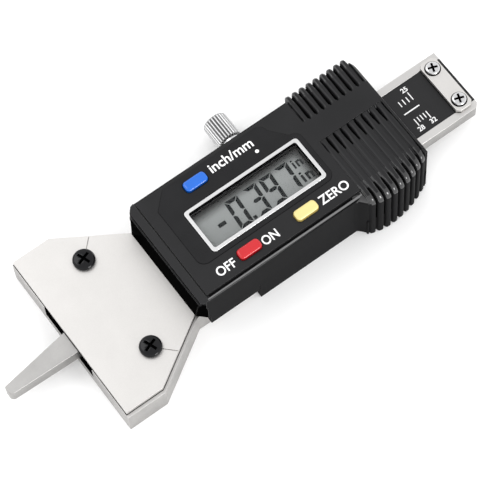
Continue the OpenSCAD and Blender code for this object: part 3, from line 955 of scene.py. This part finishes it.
beam_solid = cad_copy("slide_beam")
split_at(beam_solid, (PROBE_ROOT, 0, 0), (1, 0, 0))
beam = mesh_object("beam_steel", beam_solid, BRUSHED, BEAM, 0.16)
paint_where(beam, PROBE_STEEL, on_probe)
paint_where(beam, STEEL_SIDE, beam_side)
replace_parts(beam, "slide_beam")
from_cad("scale_board", "scale_board_green", BOARD, 0.03)
from_cad("scale_label", "scale_film_black", PRINT_BLACK)

stop_low, stop_high = (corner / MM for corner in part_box("end_stop_plate"))
stop_outline = cut_corners(stop_low, stop_high, STOP_CORNER)
stop_solid = prism(stop_outline, stop_low.z, stop_high.z)
stop_plate = mesh_object("stop_plate_steel", stop_solid, PLATE_STEEL, BEAM, 0.12)
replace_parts(stop_plate, "end_stop_plate")
# A black sheet under the stop plate, painted shadow round its edge
stop_shade = prism([(x - 0.1, y) for x, y in stop_outline], stop_low.z - 0.01, stop_low.z + 0.04)
mesh_object("stop_plate_shade", stop_shade, PAINTED_SHADE, BEAM)
for name, y in (("far", 4.6), ("near", -4.6)):
    centre = ((stop_low.x + stop_high.x) / 2, y, stop_high.z)
    # A black ring round each screw head, painted shadow
    ring = bmesh.new()
    turned(ring, centre, [(0.0, STOP_SHADOW_R), (PRINT_LIFT, STOP_SHADOW_R)])
    mesh_object(f"stop_screw_shadow_{name}", ring, PAINTED_SHADE, BEAM)
    screw_head(
        f"stop_screw_{name}", "end_stop_screws", (centre[0], y, stop_high.z + PRINT_LIFT),
        radius=1.58, height=0.7, shank=(0.8, 2.2), cross=(2.2, 0.52, 0.55), turn=-20,
        material=BRIGHT, body=BEAM,
    )

# ----------------------------------------------------------------- printing

WORD_HEIGHT = 2.15
NUMERAL_HEIGHT = 1.15

face_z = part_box("front_housing")[1].z / MM
film_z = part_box("display_overlay")[1].z / MM
scale_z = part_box("scale_label")[1].z / MM

label("label_unit", "inch/mm", (48.8, 10.0), 2.3, film_z, GAUGE)
label("label_off", "OFF", (33.3, -9.9), WORD_HEIGHT, face_z, GAUGE, squeeze=0.9)
label("label_on", "ON", (44.5, -9.85), WORD_HEIGHT, face_z, GAUGE, squeeze=0.86)
label("label_zero", "ZERO", (61.0, -9.6), WORD_HEIGHT, face_z, GAUGE, squeeze=0.95)

dot = bmesh.new()
bmesh.ops.create_circle(dot, cap_ends=True, segments=24, radius=0.42)
bmesh.ops.translate(dot, vec=(53.8, 7.6, film_z + PRINT_THICK), verts=dot.verts)
mesh_object("label_dot", dot, PRINT_WHITE, GAUGE)

# The scale moves with the beam and is read at the housing's end
READ_AT = 81.8
PROBE_OUT = 16.4
SCALE_ZERO = READ_AT - PROBE_OUT
INCH_STEP = 25.4 / 32
TICK_HALF = 0.11
MM_TICK, MM_LONG_TICK = (1.7, 3.1), (1.7, 3.8)
INCH_TICK, INCH_LONG_TICK = (-3.4, -2.1), (-4.0, -2.1)


def add_print(bm, corners, z):
    """Adds a printed bar between two opposite corners, x0, y0, x1, y1, to a bmesh."""
    add_prism(bm, bar(*corners), z, z + PRINT_THICK)


def add_tick(bm, x, span):
    """Adds a scale tick at x between two positions across the beam."""
    add_print(bm, (x - TICK_HALF, span[0], x + TICK_HALF, span[1]), scale_z)


def numeral(name, value, x, y):
    """Prints one number of the scale, resting on the black film."""
    label(name, str(value), (x, y), NUMERAL_HEIGHT, scale_z + LETTER_HALF, BEAM, weight=0.03)


scale_marks = bmesh.new()
for value in range(22, 26):
    add_tick(scale_marks, SCALE_ZERO + value, MM_TICK if value % 5 else MM_LONG_TICK)
for value in range(28, 33):
    add_tick(scale_marks, SCALE_ZERO + value * INCH_STEP, INCH_TICK if value % 4 else INCH_LONG_TICK)
add_print(scale_marks, (86.6, -0.25, 90.6, 0.05), scale_z)
mesh_object("scale_marks", scale_marks, PRINT_WHITE, BEAM)
numeral("scale_mm_25", 25, SCALE_ZERO + 24.8, 4.65)
for value in (28, 32):
    numeral(f"scale_inch_{value}", value, SCALE_ZERO + value * INCH_STEP, -4.8)

# ------------------------------------------------------------------ display

DIGIT_H = 7.05
DIGIT_W = 3.2
STROKE = 0.86
GAP = 0.13
DIGIT_Y = -4.3
SLANT = math.tan(math.radians(4))
SEGMENTS = {"0": "abcdef", "3": "abcdg", "9": "abcdfg", "7": "abc"}

# The reading: each digit at its left edge, and the corners of its minus and decimal point
READING = ((41.2, "0"), (45.9, "3"), (49.9, "9"), (53.9, "7"))
MINUS = (37.75, -1.35, 39.6, -0.45)
POINT = (44.7, -4.1, 45.5, -3.3)


def segment_outlines():
    """Outlines of the seven segments of one digit, its lower left corner at the origin."""
    w, h, t, g = DIGIT_W, DIGIT_H, STROKE, GAP
    m = h / 2
    return {
        "a": [(g, h), (w - g, h), (w - t - g, h - t), (t + g, h - t)],
        "b": [(w, h - g), (w, m + g), (w - t / 2, m + g), (w - t, m + t / 2 + g), (w - t, h - t - g)],
        "c": [(w, g), (w, m - g), (w - t / 2, m - g), (w - t, m - t / 2 - g), (w - t, t + g)],
        "d": [(g, 0), (w - g, 0), (w - t - g, t), (t + g, t)],
        "e": [(0, g), (0, m - g), (t / 2, m - g), (t, m - t / 2 - g), (t, t + g)],
        "f": [(0, h - g), (0, m + g), (t / 2, m + g), (t, m + t / 2 + g), (t, h - t - g)],
        "g": [
            (t / 2 + g, m), (t + g, m + t / 2), (w - t - g, m + t / 2),
            (w - t / 2 - g, m), (w - t - g, m - t / 2), (t + g, m - t / 2),
        ],
    }


def unit_bars(x, y, height, stroke):
    """The display's own "in" as the corners of bars, its lower left corner at x, y."""
    wide = height * 0.62
    stem = height * 0.72
    n = x + stroke * 1.9
    return [
        (x, y, x + stroke, y + stem),
        (x, y + height - stroke * 0.8, x + stroke, y + height),
        (n, y, n + stroke, y + stem),
        (n + stroke, y + stem - stroke, n + wide - stroke, y + stem),
        (n + wide - stroke, y, n + wide, y + wide),
    ]


lcd_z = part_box("lcd_panel")[1].z / MM + PRINT_LIFT
digits = bmesh.new()
outlines = segment_outlines()
for x0, digit in READING:
    for key in SEGMENTS[digit]:
        shape = [(x0 + x + y * SLANT, DIGIT_Y + y) for x, y in outlines[key]]
        add_prism(digits, shape, lcd_z, lcd_z + PRINT_THICK)
for corners in [MINUS, POINT, *unit_bars(58.2, 0.1, 2.2, 0.44), *unit_bars(58.0, -3.6, 2.6, 0.56)]:
    add_print(digits, corners, lcd_z)
mesh_object("lcd_segments", digits, LCD_INK, GAUGE)

# -------------------------------------------------------------------- stage

FLOOR_HALF = 3.0
FLOOR_DROP = 0.00005
HORIZON, ZENITH = 1.5, 1.1

floor_mesh = bmesh.new()
bmesh.ops.create_grid(floor_mesh, x_segments=1, y_segments=1, size=FLOOR_HALF)
floor_data = bpy.data.meshes.new("floor")
floor_mesh.to_mesh(floor_data)
floor_mesh.free()
floor = bpy.data.objects.new("floor", floor_data)
SCENE.collection.objects.link(floor)
floor.location.z = -FLOOR_DROP
floor_paint, _, floor_shader, _ = node_tree("floor_paint")
floor_shader.inputs["Base Color"].default_value = (0.97, 0.97, 0.97, 1)
floor_shader.inputs["Roughness"].default_value = 0.9
floor_data.materials.append(floor_paint)

# A white surrounding, a little brighter at the horizon than overhead
world = bpy.data.worlds.new("studio")
world.use_nodes = True
sky_nodes = world.node_tree.nodes
sky_links = world.node_tree.links
sky = sky_nodes["Background"]
sky_coords = sky_nodes.new("ShaderNodeTexCoord")
sky_height = sky_nodes.new("ShaderNodeSeparateXYZ")
sky_level = sky_nodes.new("ShaderNodeMapRange")
sky_level.inputs["From Min"].default_value = 0.0
sky_level.inputs["From Max"].default_value = 1.0
sky_level.inputs["To Min"].default_value = HORIZON
sky_level.inputs["To Max"].default_value = ZENITH
sky_links.new(sky_coords.outputs["Generated"], sky_height.inputs["Vector"])
sky_links.new(sky_height.outputs["Z"], sky_level.inputs["Value"])
sky_links.new(sky_level.outputs["Result"], sky.inputs["Strength"])
sky.inputs["Color"].default_value = (1, 1, 1, 1)
SCENE.world = world
SCENE.view_settings.view_transform = "Standard"

# The point that the lights and the camera face
AIM = Vector((43.2, -3.4, 0)) * MM


def bearing(azimuth, elevation):
    """The direction from the object at an azimuth from the near side and an elevation, in degrees."""
    a, e = math.radians(azimuth), math.radians(elevation)
    return Vector((math.sin(a) * math.cos(e), -math.cos(a) * math.cos(e), math.sin(e)))


def area_light(name, azimuth, elevation, distance, size, power):
    """A soft square light at a bearing from the object, turned to face it."""
    away = bearing(azimuth, elevation)
    data = bpy.data.lights.new(name, "AREA")
    data.size = size
    data.energy = power
    lamp = bpy.data.objects.new(name, data)
    SCENE.collection.objects.link(lamp)
    lamp.location = AIM + away * distance
    lamp.rotation_mode = "QUATERNION"
    lamp.rotation_quaternion = (-away).to_track_quat("-Z", "Y")


area_light("key", azimuth=205, elevation=52, distance=0.9, size=0.5, power=1.8)
area_light("fill", azimuth=6, elevation=20, distance=0.9, size=0.3, power=4.0)

# The camera at the photographed angle, with its roll
CAM_AZIMUTH, CAM_ELEVATION, CAM_ROLL = -30.91, 66.23, -5.58
CAM_DISTANCE = 529.6
camera_data = bpy.data.cameras.new("camera")
camera_data.sensor_width = 36
camera_data.lens = 180.4
camera_data.clip_end = 10
camera = bpy.data.objects.new("camera", camera_data)
SCENE.collection.objects.link(camera)
SCENE.camera = camera
back = bearing(CAM_AZIMUTH, CAM_ELEVATION)
level = Vector((math.cos(math.radians(CAM_AZIMUTH)), math.sin(math.radians(CAM_AZIMUTH)), 0))
roll = Matrix.Rotation(math.radians(CAM_ROLL), 3, -back)
right = roll.transposed() @ level
up = back.cross(right)
facing = Matrix((right, up, back)).transposed().to_4x4()
camera.matrix_world = Matrix.Translation(AIM + back * CAM_DISTANCE * MM) @ facing
